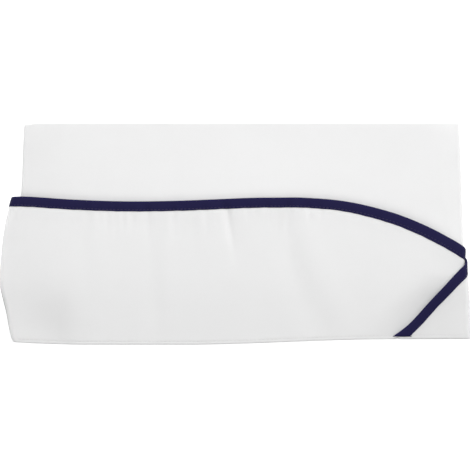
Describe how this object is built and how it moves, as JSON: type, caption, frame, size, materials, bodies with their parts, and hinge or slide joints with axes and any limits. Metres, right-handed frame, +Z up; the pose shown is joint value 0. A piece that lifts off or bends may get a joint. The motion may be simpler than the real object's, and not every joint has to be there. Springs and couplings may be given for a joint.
{
  "type": "chef hat",
  "caption": "Overseas-style cook's cap folded flat, lying on its side: plain crown, deep turned-up cuff with dark bound edge, lapped at the front, open along the hem for the head.",
  "frame": {"origin": "centre of the bounding box in plan, on the table surface the cap lies on", "axes": "+X along the hem from the back of the cap to its front, +Y from the open hem to the top edge, +Z up through the folded thickness; the cap lies on its left side"},
  "size_m": [0.3014, 0.1412, 0.0155],
  "materials": {
    "crown_cloth": "matte white cotton twill",
    "cuff_cloth": "matte white cotton twill",
    "binding_tape": "navy bias tape, fine ribs"
  },
  "bodies": {
    "root": {"crown_side_right": "crown_cloth", "crown_side_left": "crown_cloth", "crown_gusset": "crown_cloth", "cuff_right": "cuff_cloth", "cuff_left": "cuff_cloth", "cuff_binding": "binding_tape"}
  },
  "joints": []
}
